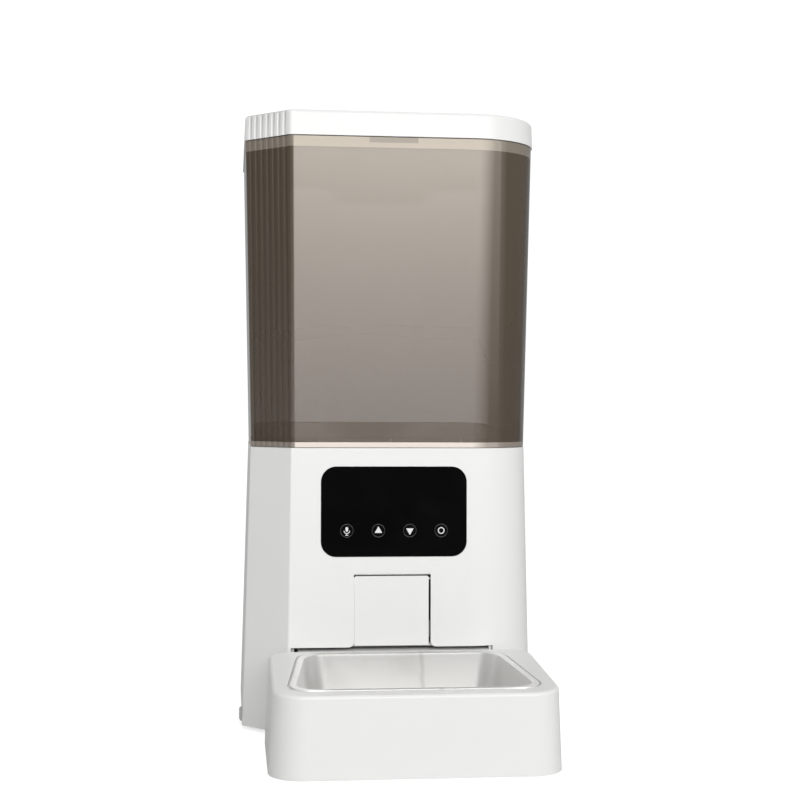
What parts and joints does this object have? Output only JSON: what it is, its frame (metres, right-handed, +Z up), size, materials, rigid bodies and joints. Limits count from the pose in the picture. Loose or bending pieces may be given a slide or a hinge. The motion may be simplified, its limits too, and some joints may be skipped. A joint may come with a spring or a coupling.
{
  "type": "automatic dry food feeder",
  "caption": "Tower feeder with a lift-off lid, smoked food hopper, motor-driven dosing wheel, key panel, hinged outlet flap and a slide-out tray holding a steel bowl.",
  "frame": {"origin": "on the floor, under the middle of the bounding box (X and Y)", "axes": "+Z up, -Y towards the tray and bowl (front), +X to the right as seen from the front"},
  "size_m": [0.1936, 0.3, 0.3935],
  "materials": {
    "white_shell": "satin white moulded",
    "white_inner": "white moulded",
    "smoked": "smoked clear moulding",
    "steel_bowl": "satin stainless",
    "black_panel": "high gloss",
    "black_key": "gloss with printed mark",
    "soft_seal": "translucent silicone",
    "feet_rubber": "matte",
    "rotor_silicone": "soft grey silicone",
    "sachet": "non-woven paper",
    "base_grey": "light grey moulded",
    "gear_nylon": "natural nylon",
    "gearbox_black": "matte",
    "steel": "zinc plated",
    "board_green": "solder mask",
    "part_black": "moulded",
    "ribbon_grey": "flat cable",
    "cell_wrap": "printed sleeve",
    "contact_steel": "nickel plated"
  },
  "bodies": {
    "housing": {"housing_shell": "white_shell", "funnel_deck": "white_inner", "dosing_chamber": "white_inner", "chute": "white_inner", "bay_liner": "white_inner", "panel_lens": "black_panel", "rubber_feet": "feet_rubber", "base_plate": "base_grey", "frame_posts": "base_grey", "panel_frame": "base_grey", "flap_ears": "base_grey", "battery_box": "base_grey", "gearbox": "gearbox_black", "motor_can": "steel", "motor_bracket": "steel", "flap_pin": "steel", "motor_screws": "steel", "base_screws": "steel", "display_board": "board_green", "main_board": "board_green", "display_module": "part_black", "key_switches": "part_black", "board_parts": "part_black", "speaker": "part_black", "microphone": "part_black", "dc_jack": "part_black", "panel_ribbon": "ribbon_grey", "motor_ribbon": "ribbon_grey", "battery_cells": "cell_wrap", "battery_contacts": "contact_steel"},
    "hopper": {"hopper_tank": "smoked"},
    "lid": {"lid_shell": "white_shell", "lid_liner": "white_inner", "lid_seal": "soft_seal", "desiccant_box": "white_inner", "desiccant_pack": "sachet"},
    "desiccant_door": {"desiccant_door": "white_inner"},
    "tray": {"tray_shell": "white_shell"},
    "bowl": {"bowl": "steel_bowl"},
    "flap": {"outlet_flap": "white_shell"},
    "voice_key": {"key_voice": "black_key"},
    "up_key": {"key_up": "black_key"},
    "down_key": {"key_down": "black_key"},
    "set_key": {"key_set": "black_key"},
    "dosing_wheel": {"dosing_rotor": "rotor_silicone", "rotor_shaft": "steel", "agitator": "rotor_silicone", "drive_gear": "gear_nylon"},
    "pinion": {"motor_pinion": "gear_nylon"},
    "battery_door": {"battery_door": "white_shell"}
  },
  "joints": [
    {"name": "hopper_lift", "type": "slide", "parent": "housing", "child": "hopper", "axis": [0, 0, 1], "range_m": [0, 0.06]},
    {"name": "lid_lift", "type": "slide", "parent": "hopper", "child": "lid", "axis": [0, 0, 1], "range_m": [0, 0.08]},
    {"name": "desiccant_door_swing", "type": "hinge", "parent": "lid", "child": "desiccant_door", "pos_m": [0, 0.087, 0.3525], "axis": [1, 0, 0], "range_deg": [0, 90]},
    {"name": "tray_slide", "type": "slide", "parent": "housing", "child": "tray", "axis": [0, -1, 0], "range_m": [0, 0.06]},
    {"name": "bowl_lift", "type": "slide", "parent": "tray", "child": "bowl", "axis": [0, -0.0653, 0.9979], "range_m": [0, 0.034]},
    {"name": "flap_swing", "type": "hinge", "parent": "housing", "child": "flap", "pos_m": [-0.0009, -0.0332, 0.09806], "axis": [-1, 0, 0], "range_deg": [0, 80]},
    {"name": "voice_press", "type": "slide", "parent": "housing", "child": "voice_key", "axis": [0, 0.9997, -0.026], "range_m": [0, 0.0006], "stiffness_N_per_m": 400, "springref_m": -0.0006},
    {"name": "up_press", "type": "slide", "parent": "housing", "child": "up_key", "axis": [0, 0.9997, -0.026], "range_m": [0, 0.0006], "stiffness_N_per_m": 400, "springref_m": -0.0006},
    {"name": "down_press", "type": "slide", "parent": "housing", "child": "down_key", "axis": [0, 0.9997, -0.026], "range_m": [0, 0.0006], "stiffness_N_per_m": 400, "springref_m": -0.0006},
    {"name": "set_press", "type": "slide", "parent": "housing", "child": "set_key", "axis": [0, 0.9997, -0.026], "range_m": [0, 0.0006], "stiffness_N_per_m": 400, "springref_m": -0.0006},
    {"name": "wheel_turn", "type": "hinge", "parent": "housing", "child": "dosing_wheel", "pos_m": [0, 0.057, 0.12], "axis": [0, 0, 1], "continuous": true},
    {"name": "pinion_turn", "type": "hinge", "parent": "housing", "child": "pinion", "pos_m": [0, 0.081, 0.106], "axis": [0, 0, 1], "continuous": true},
    {"name": "battery_door_swing", "type": "hinge", "parent": "housing", "child": "battery_door", "pos_m": [0, 0.14855, 0.0103], "axis": [-1, 0, 0], "range_deg": [0, 85]}
  ],
  "couplings": [
    {"joint": "pinion_turn", "follows": "wheel_turn", "ratio": -3}
  ]
}
